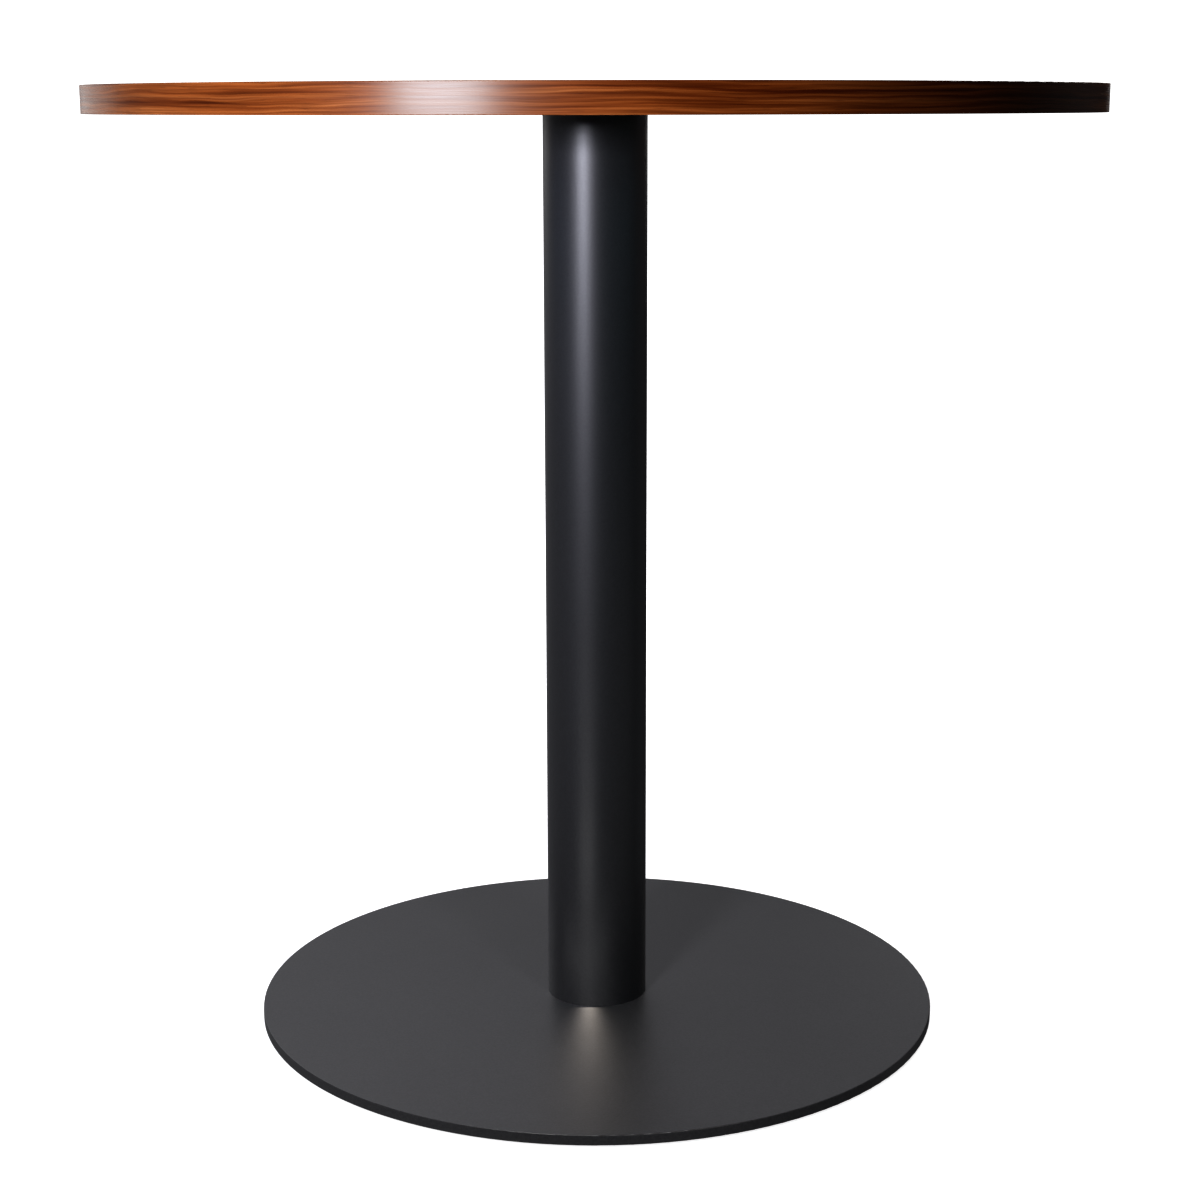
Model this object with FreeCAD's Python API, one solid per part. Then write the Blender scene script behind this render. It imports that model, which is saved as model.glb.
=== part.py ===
"""Round pedestal dining table: a veneered disc top on a steel tube column and a flat steel disc base.

Millimetres, +Z up. The origin is on the floor, on the axis of the column.
"""
import FreeCAD
import Part
import math
import os
from collections import namedtuple

# Whole table
TABLE_HEIGHT = 737.0
TOP_DIAMETER = 762.0

# Top: a core board, a veneer on each face and a band round the rim
CORE_THICKNESS = 19.0
VENEER_THICKNESS = 0.7
EDGE_BAND_THICKNESS = 1.2
EDGE_BAND_EASE = 0.5
EDGE_BAND_SEAM = 0.15

# Steel plate let into the underside of the top
TOP_PLATE_DIAMETER = 320.0
TOP_PLATE_THICKNESS = 5.0
TOP_PLATE_CLEARANCE = 1.0
TOP_PLATE_SCREW_COUNT = 8
TOP_PLATE_SCREW_INSET = 25.0
TOP_PLATE_SCREW_OVERRUN = 1.0

# Threaded sleeves in the core, which the plate is screwed to
INSERT_DIAMETER = 10.0
INSERT_CLEARANCE = 0.05
INSERT_END_GAP = 1.5
WOOD_OVER_INSERTS = 3.2

# Column: a tube with a plug welded into each end
COLUMN_DIAMETER = 80.0
COLUMN_WALL = 2.5
PLUG_THICKNESS = 13.0
PLUG_CLEARANCE = 0.1
PLUG_WELD = 3.0
COLUMN_SCREW_COUNT = 4
COLUMN_SCREW_INSET = 12.4
TOP_SCREW_ENGAGEMENT = 11.0
BASE_SCREW_ENGAGEMENT = 12.0

# Base disc and the glides under it
BASE_DIAMETER = 545.0
BASE_THICKNESS = 8.0
BASE_EASE = 0.5
GLIDE_COUNT = 6
GLIDE_INSET = 32.0
GLIDE_DIAMETER = 30.0
GLIDE_HEIGHT = 2.0
GLIDE_EASE = 0.6
GLIDE_STEM_DIAMETER = 8.0
GLIDE_STEM_LENGTH = 4.5
GLIDE_STEM_CLEARANCE = 0.05
GLIDE_STEM_END_GAP = 0.5

# Countersunk socket screws with 90 degree heads
M6_DIAMETER = 6.0
M6_HEAD_DIAMETER = 12.0
M6_SOCKET_WIDTH = 4.0
M6_SOCKET_DEPTH = 2.2
M8_DIAMETER = 8.0
M8_HEAD_DIAMETER = 16.0
M8_SOCKET_WIDTH = 5.0
M8_SOCKET_DEPTH = 2.9
SCREW_HEAD_LAND = 0.3
SCREW_HEAD_SINK = 0.2
SCREW_HEAD_CLEARANCE = 0.05
SCREW_TIP_CHAMFER = 0.8
PLAIN_HOLE_CLEARANCE = 0.5
THREAD_CLEARANCE = 0.05

# Radii and heights that follow from the sizes above
TOP_RADIUS = TOP_DIAMETER / 2
CORE_RADIUS = TOP_RADIUS - EDGE_BAND_THICKNESS
CORE_TOP = TABLE_HEIGHT - VENEER_THICKNESS
CORE_BOTTOM = CORE_TOP - CORE_THICKNESS
UNDERSIDE = CORE_BOTTOM - VENEER_THICKNESS
TOP_PLATE_RADIUS = TOP_PLATE_DIAMETER / 2
RECESS_RADIUS = TOP_PLATE_RADIUS + TOP_PLATE_CLEARANCE
RECESS_FLOOR = UNDERSIDE + TOP_PLATE_THICKNESS
TOP_PLATE_SCREW_CIRCLE = TOP_PLATE_RADIUS - TOP_PLATE_SCREW_INSET
INSERT_RADIUS = INSERT_DIAMETER / 2
INSERT_HOLE_END = CORE_TOP - WOOD_OVER_INSERTS
INSERT_END = INSERT_HOLE_END - INSERT_END_GAP
BASE_RADIUS = BASE_DIAMETER / 2
BASE_BOTTOM = GLIDE_HEIGHT
BASE_TOP = BASE_BOTTOM + BASE_THICKNESS
COLUMN_RADIUS = COLUMN_DIAMETER / 2
COLUMN_BORE_RADIUS = COLUMN_RADIUS - COLUMN_WALL
PLUG_RADIUS = COLUMN_BORE_RADIUS - PLUG_CLEARANCE
COLUMN_SCREW_CIRCLE = PLUG_RADIUS - COLUMN_SCREW_INSET
GLIDE_CIRCLE = BASE_RADIUS - GLIDE_INSET
GLIDE_STEM_RADIUS = GLIDE_STEM_DIAMETER / 2
FIRST_COLUMN_SCREW_ANGLE = 180.0 / COLUMN_SCREW_COUNT
FIRST_PLATE_SCREW_ANGLE = 180.0 / TOP_PLATE_SCREW_COUNT

ORIGIN = FreeCAD.Vector(0, 0, 0)
X_AXIS = FreeCAD.Vector(1, 0, 0)
Z_AXIS = FreeCAD.Vector(0, 0, 1)

Screw = namedtuple("Screw", "radius head_radius socket_width socket_depth")
M6 = Screw(M6_DIAMETER / 2, M6_HEAD_DIAMETER / 2, M6_SOCKET_WIDTH, M6_SOCKET_DEPTH)
M8 = Screw(M8_DIAMETER / 2, M8_HEAD_DIAMETER / 2, M8_SOCKET_WIDTH, M8_SOCKET_DEPTH)


# Shape helpers

def at(radius, height):
    """Point of a turned profile, in the XZ plane."""
    return FreeCAD.Vector(radius, 0, height)


def turned(edges):
    """Solid of revolution about Z from the edges of a closed profile."""
    face = Part.Face(Part.Wire(edges))
    return face.revolve(ORIGIN, Z_AXIS, 360)


def turned_polygon(corners):
    """Solid of revolution about Z from the (radius, height) corners of a profile."""
    points = [at(radius, height) for radius, height in corners]
    return turned(Part.makePolygon(points + points[:1]).Edges)


def disc(radius, bottom, top):
    return Part.makeCylinder(radius, top - bottom, FreeCAD.Vector(0, 0, bottom))


def ring(inner_radius, outer_radius, bottom, top):
    return disc(outer_radius, bottom, top).cut(disc(inner_radius, bottom, top))


def eased_disc(radius, bottom, top, ease):
    """Disc on the Z axis with both of its rims rounded."""
    flat = radius - ease
    low = bottom + ease
    high = top - ease
    reach = ease * math.sqrt(0.5)
    lower_rim = Part.Arc(at(flat, bottom), at(flat + reach, low - reach), at(radius, low))
    upper_rim = Part.Arc(at(radius, high), at(flat + reach, high + reach), at(flat, top))
    return turned([
        Part.makeLine(at(0, bottom), at(flat, bottom)),
        lower_rim.toShape(),
        Part.makeLine(at(radius, low), at(radius, high)),
        upper_rim.toShape(),
        Part.makeLine(at(flat, top), at(0, top)),
        Part.makeLine(at(0, top), at(0, bottom)),
    ])


def moved_up(shape, height):
    return shape.translated(FreeCAD.Vector(0, 0, height))


def upside_down(shape):
    return shape.rotated(ORIGIN, X_AXIS, 180)


def around(shape, count, circle_radius, first_angle=0.0):
    """Copies of a shape, evenly spaced on a circle about Z."""
    outward = shape.translated(FreeCAD.Vector(circle_radius, 0, 0))
    step = 360.0 / count
    return [outward.rotated(ORIGIN, Z_AXIS, first_angle + step * index) for index in range(count)]


def hex_prism(width, height):
    """Hexagonal prism on the Z axis, with its width measured across flats."""
    corner_radius = width / math.sqrt(3)
    angles = [math.radians(60 * index) for index in range(7)]
    corners = [
        FreeCAD.Vector(corner_radius * math.cos(angle), corner_radius * math.sin(angle), 0)
        for angle in angles
    ]
    return Part.Face(Part.makePolygon(corners)).extrude(Z_AXIS * height)


# Screws, drawn with the plate's face at height 0 and the shank pointing up

def screw(size, length):
    """Countersunk screw whose head is sunk a little and whose tip is a given length from the face."""
    head_end = SCREW_HEAD_SINK + SCREW_HEAD_LAND
    body = turned_polygon([
        (0, SCREW_HEAD_SINK),
        (size.head_radius, SCREW_HEAD_SINK),
        (size.head_radius, head_end),
        (size.radius, head_end + size.head_radius - size.radius),
        (size.radius, length - SCREW_TIP_CHAMFER),
        (size.radius - SCREW_TIP_CHAMFER, length),
        (0, length),
    ])
    socket = moved_up(hex_prism(size.socket_width, size.socket_depth), SCREW_HEAD_SINK)
    return body.cut(socket)


def screw_hole(size, length, shank_clearance):
    """Countersunk hole for a screw, with its own room round the shank."""
    head_end = SCREW_HEAD_SINK + SCREW_HEAD_LAND
    head_radius = size.head_radius + SCREW_HEAD_CLEARANCE
    head = turned_polygon([
        (0, 0),
        (head_radius, 0),
        (head_radius, head_end),
        (0, head_end + head_radius),
    ])
    return head.fuse(disc(size.radius + shank_clearance, 0, length))


def plate_screw_pattern(shape):
    """Copies of a shape at the screws that hold the top plate in the top, drawn from below."""
    placed = moved_up(shape, UNDERSIDE)
    return around(placed, TOP_PLATE_SCREW_COUNT, TOP_PLATE_SCREW_CIRCLE, FIRST_PLATE_SCREW_ANGLE)


def column_top_pattern(shape):
    """Copies of a shape at the screws from the top plate down into the column."""
    placed = moved_up(upside_down(shape), RECESS_FLOOR)
    return around(placed, COLUMN_SCREW_COUNT, COLUMN_SCREW_CIRCLE, FIRST_COLUMN_SCREW_ANGLE)


def column_foot_pattern(shape):
    """Copies of a shape at the screws from the base up into the column."""
    placed = moved_up(shape, BASE_BOTTOM)
    return around(placed, COLUMN_SCREW_COUNT, COLUMN_SCREW_CIRCLE, FIRST_COLUMN_SCREW_ANGLE)


# Top

def face_veneer():
    return disc(CORE_RADIUS, CORE_TOP, TABLE_HEIGHT)


def top_core():
    """Core board with the plate's recess and the blind holes for the inserts."""
    board = disc(CORE_RADIUS, CORE_BOTTOM, CORE_TOP)
    recess = disc(RECESS_RADIUS, UNDERSIDE, RECESS_FLOOR)
    hole = disc(INSERT_RADIUS + INSERT_CLEARANCE, RECESS_FLOOR, INSERT_HOLE_END)
    holes = around(hole, TOP_PLATE_SCREW_COUNT, TOP_PLATE_SCREW_CIRCLE, FIRST_PLATE_SCREW_ANGLE)
    return board.cut([recess] + holes)


def backing_veneer():
    return ring(RECESS_RADIUS, CORE_RADIUS, UNDERSIDE, CORE_BOTTOM)


def edge_band():
    """Band round the rim, as high as the top is thick, with a butt seam at the back."""
    solid = eased_disc(TOP_RADIUS, UNDERSIDE, TABLE_HEIGHT, EDGE_BAND_EASE)
    seam_corner = FreeCAD.Vector(-EDGE_BAND_SEAM / 2, 0, UNDERSIDE)
    seam = Part.makeBox(EDGE_BAND_SEAM, TOP_RADIUS, TABLE_HEIGHT - UNDERSIDE, seam_corner)
    return solid.cut([disc(CORE_RADIUS, UNDERSIDE, TABLE_HEIGHT), seam])


def threaded_inserts():
    bore_radius = M6.radius + THREAD_CLEARANCE
    sleeve = ring(bore_radius, INSERT_RADIUS, RECESS_FLOOR, INSERT_END)
    sleeves = around(sleeve, TOP_PLATE_SCREW_COUNT, TOP_PLATE_SCREW_CIRCLE, FIRST_PLATE_SCREW_ANGLE)
    return Part.makeCompound(sleeves)


def top_plate():
    """Steel disc, countersunk from below for the top and from above for the column."""
    plate = disc(TOP_PLATE_RADIUS, UNDERSIDE, RECESS_FLOOR)
    top_holes = plate_screw_pattern(screw_hole(M6, TOP_PLATE_THICKNESS, PLAIN_HOLE_CLEARANCE))
    column_holes = column_top_pattern(screw_hole(M8, TOP_PLATE_THICKNESS, PLAIN_HOLE_CLEARANCE))
    return plate.cut(top_holes + column_holes)


def top_plate_screws():
    length = INSERT_END - UNDERSIDE + TOP_PLATE_SCREW_OVERRUN
    return Part.makeCompound(plate_screw_pattern(screw(M6, length)))


# Column

def column_tube():
    return ring(COLUMN_BORE_RADIUS, COLUMN_RADIUS, BASE_TOP, UNDERSIDE)


def plug():
    """End plug with its outer face at height 0, chamfered there for the weld."""
    return turned_polygon([
        (0, 0),
        (PLUG_RADIUS - PLUG_WELD, 0),
        (PLUG_RADIUS, PLUG_WELD),
        (PLUG_RADIUS, PLUG_THICKNESS),
        (0, PLUG_THICKNESS),
    ])


def plug_weld():
    """Weld ring that fills the plug's chamfer, ground flush with the end of the tube."""
    return turned_polygon([
        (PLUG_RADIUS - PLUG_WELD, 0),
        (COLUMN_BORE_RADIUS, 0),
        (COLUMN_BORE_RADIUS, PLUG_WELD),
        (PLUG_RADIUS, PLUG_WELD),
    ])


def top_plug():
    depth = TOP_PLATE_THICKNESS + PLUG_THICKNESS
    placed = moved_up(upside_down(plug()), UNDERSIDE)
    return placed.cut(column_top_pattern(screw_hole(M8, depth, THREAD_CLEARANCE)))


def bottom_plug():
    depth = BASE_THICKNESS + PLUG_THICKNESS
    placed = moved_up(plug(), BASE_TOP)
    return placed.cut(column_foot_pattern(screw_hole(M8, depth, THREAD_CLEARANCE)))


def plug_welds():
    lower = moved_up(plug_weld(), BASE_TOP)
    upper = moved_up(upside_down(plug_weld()), UNDERSIDE)
    return Part.makeCompound([lower, upper])


def plate_to_column_screws():
    length = TOP_PLATE_THICKNESS + TOP_SCREW_ENGAGEMENT
    return Part.makeCompound(column_top_pattern(screw(M8, length)))


# Base

def base_plate():
    """Steel disc, countersunk from below for the column and drilled blind for the glides."""
    plate = eased_disc(BASE_RADIUS, BASE_BOTTOM, BASE_TOP, BASE_EASE)
    column_holes = column_foot_pattern(screw_hole(M8, BASE_THICKNESS, PLAIN_HOLE_CLEARANCE))
    glide_hole_end = BASE_BOTTOM + GLIDE_STEM_LENGTH + GLIDE_STEM_END_GAP
    glide_hole = disc(GLIDE_STEM_RADIUS + GLIDE_STEM_CLEARANCE, BASE_BOTTOM, glide_hole_end)
    return plate.cut(column_holes + around(glide_hole, GLIDE_COUNT, GLIDE_CIRCLE))


def base_to_column_screws():
    length = BASE_THICKNESS + BASE_SCREW_ENGAGEMENT
    return Part.makeCompound(column_foot_pattern(screw(M8, length)))


def floor_glides():
    """Low round pads, each with a stem in the base."""
    pad = eased_disc(GLIDE_DIAMETER / 2, 0, GLIDE_HEIGHT, GLIDE_EASE)
    stem = disc(GLIDE_STEM_RADIUS, GLIDE_HEIGHT, GLIDE_HEIGHT + GLIDE_STEM_LENGTH)
    return Part.makeCompound(around(pad.fuse(stem), GLIDE_COUNT, GLIDE_CIRCLE))


PIECES = [
    face_veneer,
    top_core,
    backing_veneer,
    edge_band,
    threaded_inserts,
    top_plate,
    top_plate_screws,
    column_tube,
    top_plug,
    bottom_plug,
    plug_welds,
    plate_to_column_screws,
    base_plate,
    base_to_column_screws,
    floor_glides,
]

os.makedirs("parts", exist_ok=True)
for piece in PIECES:
    piece().exportStep(f"parts/{piece.__name__}.step")
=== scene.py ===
import math

import bpy
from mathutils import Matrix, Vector


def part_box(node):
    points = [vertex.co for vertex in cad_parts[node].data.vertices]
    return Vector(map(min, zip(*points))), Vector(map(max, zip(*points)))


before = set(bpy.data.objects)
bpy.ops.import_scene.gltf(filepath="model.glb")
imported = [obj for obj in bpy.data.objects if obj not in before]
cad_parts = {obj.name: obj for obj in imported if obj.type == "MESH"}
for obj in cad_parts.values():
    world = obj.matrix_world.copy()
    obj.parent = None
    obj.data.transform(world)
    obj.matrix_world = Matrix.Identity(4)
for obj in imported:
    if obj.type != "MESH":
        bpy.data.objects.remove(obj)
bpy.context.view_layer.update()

# Camera, fitted to the outlines of the top, the column and the base (metres, degrees, millimetres of lens).
CAMERA_PLACE = (0.0037, -1.7441, 0.7228)
CAMERA_TILT_DOWN = 12.44
CAMERA_ROLL = 0.1
CAMERA_LENS = 67.4
CAMERA_SENSOR = 36.0

# Sizes and places read from the frame.
RIM_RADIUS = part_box("edge_band")[1].x
TOP_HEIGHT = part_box("face_veneer")[1].z
BAND_MIDDLE = (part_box("edge_band")[0].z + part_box("edge_band")[1].z) / 2
COLUMN_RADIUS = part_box("column_tube")[1].x
BASE_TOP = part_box("base_plate")[1].z
TABLE_MIDDLE = Vector((0.0, 0.0, TOP_HEIGHT / 2))
TOP_CENTRE = Vector((0.0, 0.0, TOP_HEIGHT))
BASE_CENTRE = Vector((0.0, 0.0, BASE_TOP))

# Wood veneer: widths across the grain and lengths along it, in metres.
LEAF_WIDTH = 0.19
LEAF_OFFSET = 4 * LEAF_WIDTH
JOINT_WIDTH = 0.00025
LINE_WIDTH = 0.003
LINE_LENGTH = 0.2
HEART_WIDTH = 0.0013
WANDER_WIDTH = 0.05
WANDER_LENGTH = 0.2
WANDER_SHIFT = 0.006
RIPPLE_WIDTH = 0.008
RIPPLE_LENGTH = 0.06
RIPPLE_SHIFT = 0.0032
FIBRE_WIDTH = 0.0011
FIBRE_LENGTH = 0.07
PORE_WIDTH = 0.0004
PORE_LENGTH = 0.016
BROAD_WIDTH = 0.045
BROAD_LENGTH = 0.9

# Steps to another layer of the log, in cells of the grain's noise: from leaf to leaf, and to the backing.
LEAF_CHANGE = 0.35
BACKING_DEPTH = 7.0

# Wood colours, from the dark growth lines to the light wood between them, and how strongly each mark shows.
WOOD_TONES = (
    (0.3, (0.116, 0.023, 0.002)),
    (0.42, (0.242, 0.066, 0.012)),
    (0.52, (0.35, 0.108, 0.024)),
    (0.68, (0.466, 0.17, 0.049)),
)
BROAD_DRIFT = 0.08
FIBRE_SPAN = (0.3, 0.7)
FIBRE_SHADES = (0.76, 1.1)
PORE_SPAN = (0.68, 0.78)
PORE_MOST = 0.4
PORE_COLOUR = (0.05, 0.01, 0.001, 1.0)
HEART_MOST = 0.55
HEART_COLOUR = (0.12, 0.022, 0.002, 1.0)
JOINT_MOST = 0.65
JOINT_COLOUR = (0.03, 0.006, 0.002, 1.0)

# Changes along the band, by the angle from the front in radians: a painted highlight that fades the grain to
# one plain colour where the key's reflection lies, then painted light and painted shade that make the band
# lighter just right of the front and darker towards its right end.
HIGHLIGHT_WASH_START = (-0.38, -0.307)
HIGHLIGHT_WASH_END = (-0.23, 0.0)
HIGHLIGHT_WASH_MOST = 0.75
HIGHLIGHT_WASH_COLOUR = (0.257, 0.086, 0.02, 1.0)
PAINTED_LIGHT_SPAN = (-0.3, 0.2)
PAINTED_LIGHT_FACTORS = (1.08, 1.3)
PAINTED_SHADE_SPAN = (0.25, 0.55)
PAINTED_SHADE_FACTORS = (1.0, 0.73)

# Sizes of the marks on the other materials, in metres, and their colours.
BOARD_FIBRE = (0.0012, 0.0012, 0.0004)
BOARD_TONES = ((0.3, (0.2, 0.12, 0.06)), (0.55, (0.42, 0.28, 0.16)), (0.75, (0.55, 0.4, 0.25)))
PEEL_SIZE = 0.0016
DRIFT_SIZE = 0.11
DRIFT_ROUGHNESS = 0.02
COAT_DARK = (0.024, 0.024, 0.0255)
COAT_LIGHT = (0.036, 0.036, 0.038)
BRUSH_RATIO = 6
SPARK_SIZE = 0.0006
PLASTIC_DARK = (0.016, 0.016, 0.017)
PLASTIC_LIGHT = (0.032, 0.032, 0.034)

# Parts of a noise's range: most of it, its middle, its mean, and the two tones of a mottled colour.
NOISE_WIDE = (0.2, 0.8)
NOISE_MIDDLE = (0.25, 0.75)
NOISE_MEAN = 0.5
MOTTLE_DARK = 0.3
MOTTLE_LIGHT = 0.7

# Colours of the lights.
WHITE = (1.0, 1.0, 1.0)
COOL = (0.96, 0.97, 1.1)
WARM = (1.14, 1.03, 0.91)
SKY = (0.52, 1.0, 1.24)
DEEP_SKY = (0.34, 0.58, 1.0)

# The small light behind the reflection on the base: its place, its size and how it fades.
GLINT_SHIFT = -0.0062
GLINT_GAP = 0.0015
GLINT_WIDTH = 0.11
GLINT_HEIGHT = 0.15
GLINT_CORE = 0.005
GLINT_SPREAD = 0.2
GLINT_FADE = 0.03

# The room that the table reflects: the span of a direction's part, and the light or the factor at its ends.
ROOM_COLOUR = (0.985, 0.985, 1.04, 1.0)
WALL_LIGHT = ((0.1, 0.8), (0.0, 0.46))
WALL_HEIGHT = ((0.1, 0.63), (0.03, 1.0))
LOW_WALL_LIGHT = ((0.75, 1.0), (0.0, 0.15))
LOW_WALL_HEIGHT = ((0.15, -0.05), (0.0, 1.0))
WALL_ACROSS = ((0.45, -0.35), (0.2, 1.55))
LEFT_LIGHT = ((-0.25, -0.9), (0.0, 0.1))
LEFT_HEIGHT = ((0.0, 0.4), (1.0, 3.0))
RIGHT_LIGHT = ((0.5, 0.8), (0.0, 0.06))
RIGHT_BACK = ((0.1, 0.4), (0.0, 1.0))
FLOOR_LIGHT = ((-0.45, -0.15), (0.04, 0.008))

# Floor: half its side, and its own light from under the table outwards.
FLOOR_HALF = 15.0
FLOOR_GLOW = ((0.4, 1.8), (0.62, 1.0))
FLOOR_GREY = (0.8, 0.8, 0.8, 1.0)

# Sockets of the mix node when it blends colours.
MIX_FACTOR = 0
MIX_FIRST = 6
MIX_SECOND = 7
MIX_RESULT = 2


def wire(tree, node, inputs):
    """Links each input that is a socket, and sets any other value on the node."""
    for key, value in inputs.items():
        if isinstance(value, bpy.types.NodeSocket):
            tree.links.new(value, node.inputs[key])
        else:
            node.inputs[key].default_value = value
    return node


def add(tree, kind, inputs=None, **settings):
    node = tree.nodes.new(kind)
    for name, value in settings.items():
        setattr(node, name, value)
    return wire(tree, node, inputs or {})


def calc(tree, operation, *values):
    return add(tree, "ShaderNodeMath", dict(enumerate(values)), operation=operation).outputs[0]


def noise(tree, vector, detail=2.0, roughness=0.5):
    inputs = {"Vector": vector, "Scale": 1.0, "Detail": detail, "Roughness": roughness}
    return add(tree, "ShaderNodeTexNoise", inputs).outputs["Fac"]


def remap(tree, value, span, result=(0.0, 1.0)):
    """Takes a value smoothly from one end of the result to the other while it crosses the span."""
    inputs = {"Value": value}
    inputs.update({"From Min": span[0], "From Max": span[1], "To Min": result[0], "To Max": result[1]})
    return add(tree, "ShaderNodeMapRange", inputs, interpolation_type="SMOOTHSTEP").outputs["Result"]


def blend(tree, factor, first, second, mode="MIX"):
    inputs = {MIX_FACTOR: factor, MIX_FIRST: first, MIX_SECOND: second}
    return add(tree, "ShaderNodeMix", inputs, data_type="RGBA", blend_type=mode).outputs[MIX_RESULT]


def ramp(tree, factor, stops):
    node = add(tree, "ShaderNodeValToRGB", {"Fac": factor})
    elements = node.color_ramp.elements
    elements.remove(elements[1])
    for index, (position, colour) in enumerate(stops):
        stop = elements[0] if index == 0 else elements.new(position)
        stop.position = position
        stop.color = (*colour, 1.0)
    return node.outputs["Color"]


def mottle(tree, factor, dark, light):
    return ramp(tree, factor, ((MOTTLE_DARK, dark), (MOTTLE_LIGHT, light)))


def cells(tree, axes, sizes):
    """Texture coordinates in which one unit is one cell of the given size along each axis."""
    scaled = [calc(tree, "DIVIDE", axis, size) for axis, size in zip(axes, sizes)]
    return add(tree, "ShaderNodeCombineXYZ", dict(enumerate(scaled))).outputs["Vector"]


def bump(tree, height, depth):
    inputs = {"Height": height, "Strength": 1.0, "Distance": depth}
    return add(tree, "ShaderNodeBump", inputs).outputs["Normal"]


def place_axes(tree):
    """The three coordinates of a point of the surface in the row frame, in metres."""
    place = add(tree, "ShaderNodeTexCoord").outputs["Object"]
    return add(tree, "ShaderNodeSeparateXYZ", {"Vector": place}).outputs


def specks(tree, size, detail, roughness):
    """Noise that is as fine in each direction."""
    return noise(tree, cells(tree, place_axes(tree), (size, size, size)), detail, roughness)


def new_material(name):
    material = bpy.data.materials.new(name)
    material.use_nodes = True
    tree = material.node_tree
    return material, tree, tree.nodes["Principled BSDF"]


def grain(tree, along, across, depth):
    """Growth lines that wander and ripple along the grain, with fibre and pores.

    Gives the colour, the relief and the place across the grain after the lines have been bent.
    """

    def layer(place, width, length, detail):
        return noise(tree, cells(tree, (along, place, depth), (length, width, 1.0)), detail)

    def bend(place, width, length, shift):
        wave = calc(tree, "SUBTRACT", layer(place, width, length, detail=1.0), NOISE_MEAN)
        return calc(tree, "ADD", place, calc(tree, "MULTIPLY", wave, shift))

    bent = bend(across, WANDER_WIDTH, WANDER_LENGTH, WANDER_SHIFT)
    bent = bend(bent, RIPPLE_WIDTH, RIPPLE_LENGTH, RIPPLE_SHIFT)
    lines = layer(bent, LINE_WIDTH, LINE_LENGTH, detail=3.0)
    broad = layer(bent, BROAD_WIDTH, BROAD_LENGTH, detail=1.0)
    fibre = layer(bent, FIBRE_WIDTH, FIBRE_LENGTH, detail=2.0)
    pores = layer(across, PORE_WIDTH, PORE_LENGTH, detail=0.0)
    tone = calc(tree, "ADD", lines, remap(tree, broad, NOISE_WIDE, (-BROAD_DRIFT, BROAD_DRIFT)))
    colour = ramp(tree, tone, WOOD_TONES)
    fibre_shade = remap(tree, fibre, FIBRE_SPAN, FIBRE_SHADES)
    colour = blend(tree, 1.0, colour, fibre_shade, "MULTIPLY")
    pore_mask = remap(tree, pores, PORE_SPAN, (0.0, PORE_MOST))
    colour = blend(tree, pore_mask, colour, PORE_COLOUR)
    return colour, fibre, bent


def lacquer(shader, tree, colour, relief):
    """Clear gloss coat over wood."""
    wire(
        tree,
        shader,
        {
            "Base Color": colour,
            "Roughness": remap(tree, relief, NOISE_WIDE, (0.25, 0.31)),
            "Specular IOR Level": 0.22,
            "Specular Tint": (0.78, 1.0, 1.0, 1.0),
            "Coat Weight": 0.33,
            "Coat Roughness": 0.43,
            "Coat IOR": 1.5,
            "Normal": bump(tree, relief, depth=0.00002),
        },
    )


def wood_edge():
    """Veneer band: the grain runs round the rim, and meets itself at the seam at the back."""
    material, tree, shader = new_material("wood_edge")
    x, y, z = place_axes(tree)
    angle = calc(tree, "ARCTAN2", x, calc(tree, "MULTIPLY", y, -1.0))
    along = calc(tree, "MULTIPLY", angle, RIM_RADIUS)
    colour, relief, bent = grain(tree, along, z, 0.0)
    off_heart = calc(tree, "ABSOLUTE", calc(tree, "SUBTRACT", bent, BAND_MIDDLE))
    heart = remap(tree, off_heart, (0.0, HEART_WIDTH), (HEART_MOST, 0.0))
    colour = blend(tree, heart, colour, HEART_COLOUR)
    # Painted highlight: where the key's reflection lies, the grain fades to one plain colour.
    wash_rising = remap(tree, angle, HIGHLIGHT_WASH_START, (0.0, HIGHLIGHT_WASH_MOST))
    wash_falling = remap(tree, angle, HIGHLIGHT_WASH_END, (HIGHLIGHT_WASH_MOST, 0.0))
    colour = blend(tree, calc(tree, "MINIMUM", wash_rising, wash_falling), colour, HIGHLIGHT_WASH_COLOUR)
    # Painted light and painted shade: the band is coloured lighter just right of the front and darker towards
    # its right end, following how the key's light falls.
    lighter = remap(tree, angle, PAINTED_LIGHT_SPAN, PAINTED_LIGHT_FACTORS)
    painted_shade = remap(tree, angle, PAINTED_SHADE_SPAN, PAINTED_SHADE_FACTORS)
    colour = blend(tree, 1.0, colour, calc(tree, "MULTIPLY", lighter, painted_shade), "MULTIPLY")
    lacquer(shader, tree, colour, relief)
    return material


def wood_face():
    """Face veneer: leaves from one log laid side by side, each turned over from the one before it."""
    material, tree, shader = new_material("wood_face")
    x, y, _ = place_axes(tree)
    shifted = calc(tree, "ADD", y, LEAF_OFFSET)
    across = calc(tree, "PINGPONG", shifted, LEAF_WIDTH)
    leaf = calc(tree, "FLOOR", calc(tree, "DIVIDE", shifted, LEAF_WIDTH))
    colour, relief, _ = grain(tree, x, across, calc(tree, "MULTIPLY", leaf, LEAF_CHANGE))
    to_joint = calc(tree, "MINIMUM", across, calc(tree, "SUBTRACT", LEAF_WIDTH, across))
    joint = remap(tree, to_joint, (0.0, JOINT_WIDTH), (JOINT_MOST, 0.0))
    colour = blend(tree, joint, colour, JOINT_COLOUR)
    lacquer(shader, tree, colour, relief)
    return material


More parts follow.
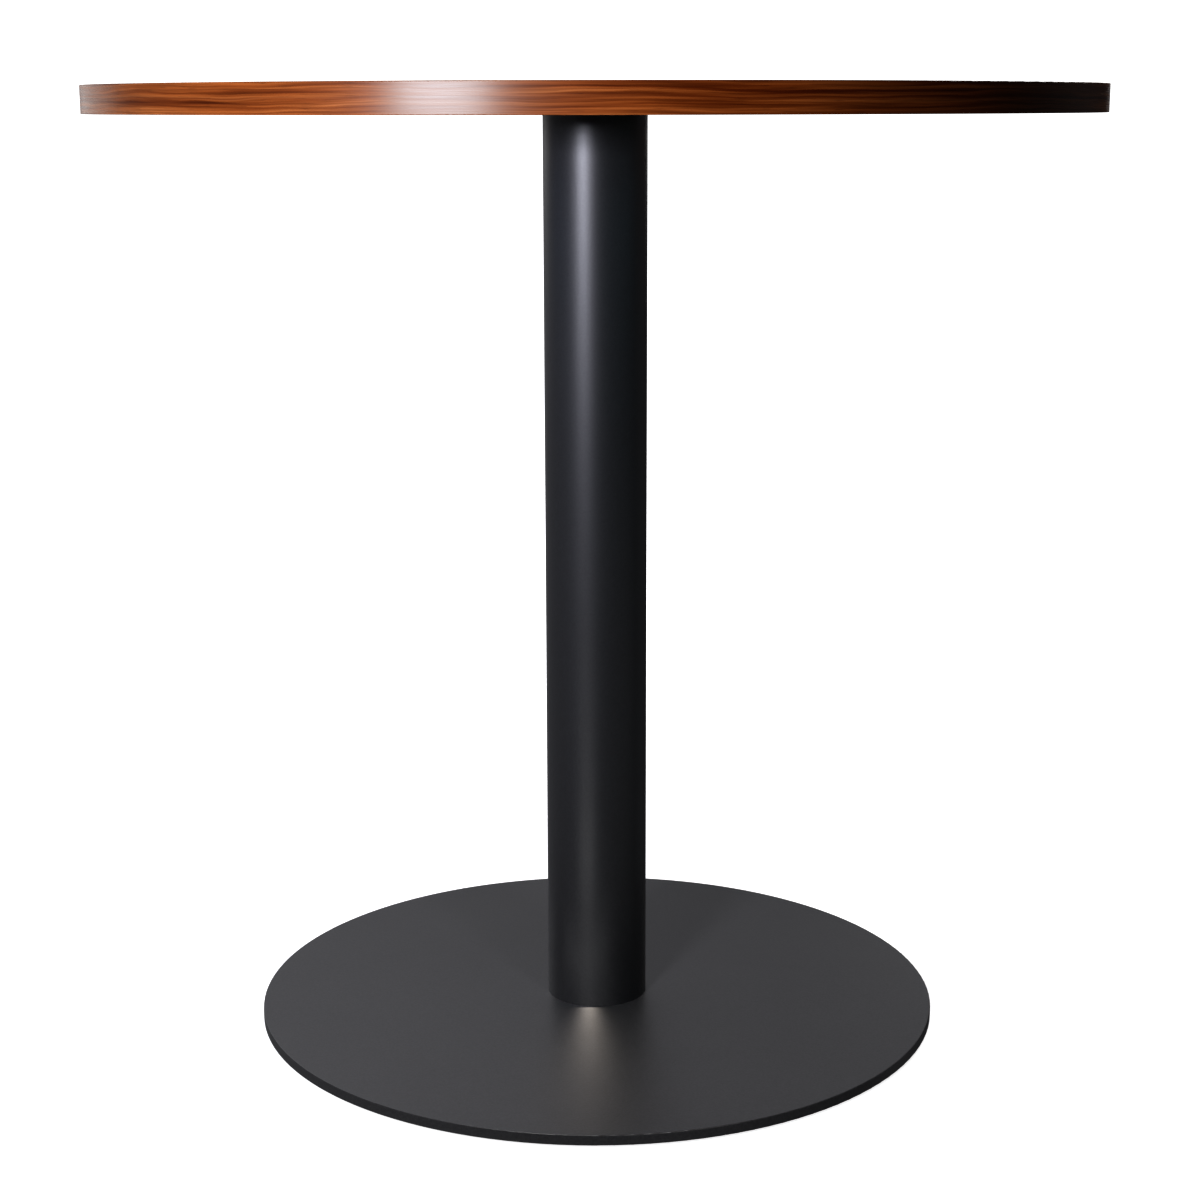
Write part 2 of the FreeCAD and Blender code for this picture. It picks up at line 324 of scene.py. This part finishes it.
def wood_backing():
    """Plain balancing veneer with a thin satin seal."""
    material, tree, shader = new_material("wood_backing")
    x, y, _ = place_axes(tree)
    colour, relief, _ = grain(tree, x, y, BACKING_DEPTH)
    roughness = remap(tree, relief, NOISE_WIDE, (0.5, 0.66))
    normal = bump(tree, relief, depth=0.00005)
    wire(tree, shader, {"Base Color": colour, "Roughness": roughness, "Normal": normal})
    return material


def board():
    """Cut edge of the core board: pressed fibres."""
    material, tree, shader = new_material("core_board")
    fibres = noise(tree, cells(tree, place_axes(tree), BOARD_FIBRE), detail=4.0, roughness=0.65)
    colour = ramp(tree, fibres, BOARD_TONES)
    normal = bump(tree, fibres, depth=0.0001)
    wire(tree, shader, {"Base Color": colour, "Roughness": 0.9, "Normal": normal})
    return material


def powder_coat(name, painted_lightness, roughness, ior, coat_roughness, coat_ior):
    """Black satin powder coat: fine orange peel, and a slow drift in its sheen."""
    # The paint's colours are multiplied by painted_lightness: painted light for a copy of the paint that is
    # to look lighter.
    dark = [painted_lightness * part for part in COAT_DARK]
    light = [painted_lightness * part for part in COAT_LIGHT]
    material, tree, shader = new_material(name)
    peel = specks(tree, PEEL_SIZE, detail=2.0, roughness=0.5)
    drift = specks(tree, DRIFT_SIZE, detail=3.0, roughness=0.5)
    roughness_range = (roughness - DRIFT_ROUGHNESS, roughness + DRIFT_ROUGHNESS)
    wire(
        tree,
        shader,
        {
            "Base Color": mottle(tree, peel, dark, light),
            "Roughness": remap(tree, drift, NOISE_MIDDLE, roughness_range),
            "IOR": ior,
            "Coat Weight": 1.0,
            "Coat Roughness": coat_roughness,
            "Coat IOR": coat_ior,
            "Normal": bump(tree, peel, depth=0.00006),
        },
    )
    return material


def metal(name, dark, light, roughness, mark):
    """Bare or plated steel with fine brushed variation."""
    material, tree, shader = new_material(name)
    stretched = cells(tree, place_axes(tree), (mark, mark, mark / BRUSH_RATIO))
    marks = noise(tree, stretched, detail=3.0, roughness=0.6)
    wire(
        tree,
        shader,
        {
            "Base Color": mottle(tree, marks, dark, light),
            "Metallic": 1.0,
            "Roughness": remap(tree, marks, NOISE_MIDDLE, roughness),
        },
    )
    return material


def black_oxide():
    return metal("black_oxide", (0.03, 0.03, 0.032), (0.075, 0.075, 0.08), roughness=(0.38, 0.55), mark=0.002)


def bare_steel():
    return metal("bare_steel", (0.36, 0.36, 0.37), (0.55, 0.55, 0.56), roughness=(0.28, 0.42), mark=0.003)


def zinc_plate():
    return metal("zinc_plate", (0.5, 0.5, 0.47), (0.7, 0.69, 0.64), roughness=(0.3, 0.45), mark=0.003)


def plastic():
    """Moulded glide: matt, with a fine spark texture."""
    material, tree, shader = new_material("glide_plastic")
    spark = specks(tree, SPARK_SIZE, detail=2.0, roughness=0.6)
    colour = mottle(tree, spark, PLASTIC_DARK, PLASTIC_LIGHT)
    normal = bump(tree, spark, depth=0.00003)
    wire(tree, shader, {"Base Color": colour, "Roughness": 0.62, "Normal": normal})
    return material


def dress(material, *names):
    """Gives CAD nodes a material through their own slots."""
    for name in names:
        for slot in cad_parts[name].material_slots:
            slot.material = material


def dress_table():
    column_coat = powder_coat(
        "column_powder_coat", painted_lightness=1.0, roughness=0.43, ior=1.65, coat_roughness=0.43, coat_ior=1.65
    )
    # The plates are the same black paint as the column, coloured 1.75 times lighter: painted light that makes
    # the base look brighter.
    plate_coat = powder_coat(
        "plate_powder_coat", painted_lightness=1.75, roughness=0.41, ior=1.5, coat_roughness=0.36, coat_ior=1.5
    )
    dress(wood_face(), "face_veneer")
    dress(wood_edge(), "edge_band")
    dress(wood_backing(), "backing_veneer")
    dress(board(), "top_core")
    dress(column_coat, "column_tube")
    dress(plate_coat, "top_plate", "base_plate")
    dress(black_oxide(), "top_plate_screws", "plate_to_column_screws", "base_to_column_screws")
    dress(bare_steel(), "top_plug", "bottom_plug", "plug_welds")
    dress(zinc_plate(), "threaded_inserts")
    dress(plastic(), "floor_glides")


def studio_place(azimuth, distance, height):
    """A point round the table: azimuth 0 is the camera's side, and grows to the right."""
    turn = math.radians(azimuth)
    return Vector((distance * math.sin(turn), -distance * math.cos(turn), height))


def above(centre, height):
    return centre + Vector((0.0, 0.0, height))


def link_light(lamp, names, state):
    """Links a light to the named CAD nodes: it lights only them, or all but them."""
    receivers = bpy.data.collections.new(lamp.name + "_receivers")
    for name in names:
        receivers.objects.link(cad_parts[name])
    for link in receivers.collection_objects:
        link.light_linking.link_state = state
    lamp.light_linking.receiver_collection = receivers


def shine_only_on(lamp, *names):
    link_light(lamp, names, "INCLUDE")


def keep_off(lamp, *names):
    link_light(lamp, names, "EXCLUDE")


def softbox(name, place, target, size, radiance, colour=WHITE):
    """Rectangular light, turned to its target and unseen by the camera."""
    light = bpy.data.lights.new(name, "AREA")
    light.shape = "RECTANGLE"
    light.size, light.size_y = size
    light.energy = radiance * math.pi * size[0] * size[1]
    light.color = colour
    lamp = bpy.data.objects.new(name, light)
    lamp.location = place
    lamp.rotation_euler = (target - place).to_track_quat("-Z", "Y").to_euler()
    lamp.visible_camera = False
    bpy.context.scene.collection.objects.link(lamp)
    return lamp


def shade_glint(light):
    """Fades the light to its sides, less so the higher up, and dims it with its height."""
    light.use_nodes = True
    tree = light.node_tree
    place = add(tree, "ShaderNodeNewGeometry").outputs["Position"]
    x, _, z = add(tree, "ShaderNodeSeparateXYZ", {"Vector": place}).outputs
    height = calc(tree, "SUBTRACT", z, BASE_TOP)
    spread = calc(tree, "MULTIPLY_ADD", height, GLINT_SPREAD, GLINT_CORE)
    aside = calc(tree, "DIVIDE", calc(tree, "SUBTRACT", x, GLINT_SHIFT), spread)
    sideways = calc(tree, "MULTIPLY", aside, aside)
    fall = calc(tree, "ADD", sideways, calc(tree, "DIVIDE", height, GLINT_FADE))
    strength = calc(tree, "EXPONENT", calc(tree, "MULTIPLY", fall, -0.5))
    wire(tree, tree.nodes["Emission"], {"Strength": strength})


def light_band():
    """The key, whose reflection is the band's bright patch, and lights for the band's ends and back."""
    key_place = studio_place(azimuth=-25.9, distance=1.1225, height=TOP_HEIGHT + 0.02)
    key_target = above(TOP_CENTRE, height=-0.007)
    key = softbox("key", key_place, key_target, size=(0.31, 0.052), radiance=102.5, colour=COOL)
    keep_off(key, "base_plate", "face_veneer")
    left_back = studio_place(azimuth=-135, distance=3.0, height=TOP_HEIGHT)
    softbox("edge_glow", left_back, TOP_CENTRE, size=(1.6, 0.3), radiance=0.78)
    right_back = studio_place(azimuth=160, distance=3.0, height=TOP_HEIGHT)
    softbox("rim_glow", right_back, TOP_CENTRE, size=(0.9, 0.3), radiance=0.6)
    far_place = studio_place(azimuth=147, distance=2.6, height=1.1)
    far_side = softbox("far_side", far_place, TOP_CENTRE, size=(0.8, 0.8), radiance=9.0)
    far_side.visible_glossy = False
    shine_only_on(far_side, "edge_band")


def light_column():
    """Low lights for the foot of the column, and fills for its two sides, bluish in its upper half."""
    foot_place = studio_place(azimuth=-25, distance=0.12, height=BASE_TOP + 0.01)
    foot = softbox("foot", foot_place, above(BASE_CENTRE, height=0.02), size=(0.24, 0.02), radiance=0.46)
    bounce_place = studio_place(azimuth=-21, distance=1.0, height=-0.25)
    bounce = softbox("bounce", bounce_place, above(BASE_CENTRE, height=0.09), size=(0.6, 0.3), radiance=1.0)
    right_high = studio_place(azimuth=48, distance=1.3, height=0.84)
    fill_high = softbox("fill_high", right_high, TABLE_MIDDLE, size=(2.4, 0.24), radiance=0.36, colour=SKY)
    right_low = studio_place(azimuth=48, distance=1.3, height=-0.1)
    fill_low = softbox("fill_low", right_low, TABLE_MIDDLE, size=(2.4, 0.5), radiance=0.13)
    left_high = studio_place(azimuth=-75, distance=1.3, height=0.84)
    fill_left = softbox("fill_left", left_high, TABLE_MIDDLE, size=(1.6, 0.24), radiance=0.6, colour=DEEP_SKY)
    for lamp in (foot, bounce, fill_high, fill_low, fill_left):
        shine_only_on(lamp, "column_tube")


def light_base():
    """The reflection in front of the column, the two soft shadows behind it, and light from the front."""
    glint_place = Vector((GLINT_SHIFT, -COLUMN_RADIUS - GLINT_GAP, BASE_TOP + GLINT_HEIGHT / 2))
    forward = glint_place + Vector((0.0, -1.0, 0.0))
    glint_size = (GLINT_WIDTH, GLINT_HEIGHT)
    glint = softbox("glint", glint_place, forward, glint_size, radiance=0.91, colour=WARM)
    shade_glint(glint.data)
    shine_only_on(glint, "base_plate")
    for name, azimuth, radiance in (("cast_left", -21, 100.0), ("cast_right", 26, 40.0)):
        cast_place = studio_place(azimuth, distance=2.0, height=1.9)
        cast = softbox(name, cast_place, BASE_CENTRE, size=(0.3, 0.3), radiance=radiance)
        shine_only_on(cast, "base_plate")
    front_place = studio_place(azimuth=-15, distance=2.6, height=1.1)
    front = softbox("front", front_place, TABLE_MIDDLE, size=(3.0, 1.0), radiance=0.7)
    shine_only_on(front, "base_plate", "face_veneer")


def light_room():
    """Soft light from behind and above, and some under the top."""
    for side in (-1, 1):
        back_place = studio_place(azimuth=150 * side, distance=2.6, height=2.0)
        back = softbox("back", back_place, TABLE_MIDDLE, size=(0.8, 0.8), radiance=3.0)
        keep_off(back, "base_plate")
    ceiling = softbox("ceiling", Vector((0.0, 0.2, 2.8)), TABLE_MIDDLE, size=(2.0, 2.0), radiance=2.4)
    keep_off(ceiling, "base_plate", "edge_band")
    low_place = above(BASE_CENTRE, height=0.04)
    under_top = softbox("under_top", low_place, TOP_CENTRE, size=(1.2, 1.2), radiance=0.4)
    shine_only_on(under_top, "backing_veneer", "top_plate", "top_plate_screws")


def build_world():
    """White behind the table, and a dim room for the table to reflect: lighter behind it and to its left."""
    world = bpy.data.worlds.new("studio")
    bpy.context.scene.world = world
    world.use_nodes = True
    tree = world.node_tree
    tree.nodes.clear()
    toward = add(tree, "ShaderNodeTexCoord").outputs["Generated"]
    right, back, up = add(tree, "ShaderNodeSeparateXYZ", {"Vector": toward}).outputs

    def times(first, second):
        return calc(tree, "MULTIPLY", first, second)

    def plus(first, second):
        return calc(tree, "ADD", first, second)

    wall = times(remap(tree, back, *WALL_LIGHT), remap(tree, up, *WALL_HEIGHT))
    low_wall = times(remap(tree, back, *LOW_WALL_LIGHT), remap(tree, up, *LOW_WALL_HEIGHT))
    behind = times(plus(wall, low_wall), remap(tree, right, *WALL_ACROSS))
    to_left = times(remap(tree, right, *LEFT_LIGHT), remap(tree, up, *LEFT_HEIGHT))
    to_right = times(remap(tree, right, *RIGHT_LIGHT), remap(tree, back, *RIGHT_BACK))
    room = plus(plus(behind, to_left), plus(remap(tree, up, *FLOOR_LIGHT), to_right))
    reflected = add(tree, "ShaderNodeBackground", {"Color": ROOM_COLOUR, "Strength": room})
    seen = add(tree, "ShaderNodeBackground", {"Color": (*WHITE, 1.0), "Strength": 1.0})
    camera_ray = add(tree, "ShaderNodeLightPath").outputs["Is Camera Ray"]
    mixed = add(tree, "ShaderNodeMixShader", {0: camera_ray, 1: reflected.outputs[0], 2: seen.outputs[0]})
    add(tree, "ShaderNodeOutputWorld", {"Surface": mixed.outputs[0]})


def build_floor():
    """Pale floor that shows the table's soft shadow. The table doesn't mirror it, and it stops no light."""
    mesh = bpy.data.meshes.new("floor")
    corners = [(x * FLOOR_HALF, y * FLOOR_HALF, 0.0) for x, y in ((-1, -1), (1, -1), (1, 1), (-1, 1))]
    mesh.from_pydata(corners, [], [(0, 1, 2, 3)])
    floor = bpy.data.objects.new("floor", mesh)
    bpy.context.scene.collection.objects.link(floor)
    material, tree, shader = new_material("floor_paper")
    place = add(tree, "ShaderNodeTexCoord").outputs["Object"]
    radius = add(tree, "ShaderNodeVectorMath", {0: place}, operation="LENGTH").outputs["Value"]
    wire(
        tree,
        shader,
        {
            "Base Color": FLOOR_GREY,
            "Roughness": 1.0,
            "Specular IOR Level": 0.0,
            "Emission Color": (*WHITE, 1.0),
            "Emission Strength": remap(tree, radius, *FLOOR_GLOW),
        },
    )
    mesh.materials.append(material)
    floor.visible_diffuse = False
    floor.visible_glossy = False
    floor.visible_shadow = False


def place_camera():
    data = bpy.data.cameras.new("camera")
    data.lens = CAMERA_LENS
    data.sensor_width = CAMERA_SENSOR
    camera = bpy.data.objects.new("camera", data)
    camera.location = CAMERA_PLACE
    camera.rotation_euler = (math.radians(90.0 - CAMERA_TILT_DOWN), math.radians(CAMERA_ROLL), 0.0)
    bpy.context.scene.collection.objects.link(camera)
    bpy.context.scene.camera = camera


bpy.context.scene.view_settings.view_transform = "Standard"
bpy.context.scene.view_settings.look = "High Contrast"
dress_table()
build_world()
build_floor()
light_band()
light_column()
light_base()
light_room()
place_camera()
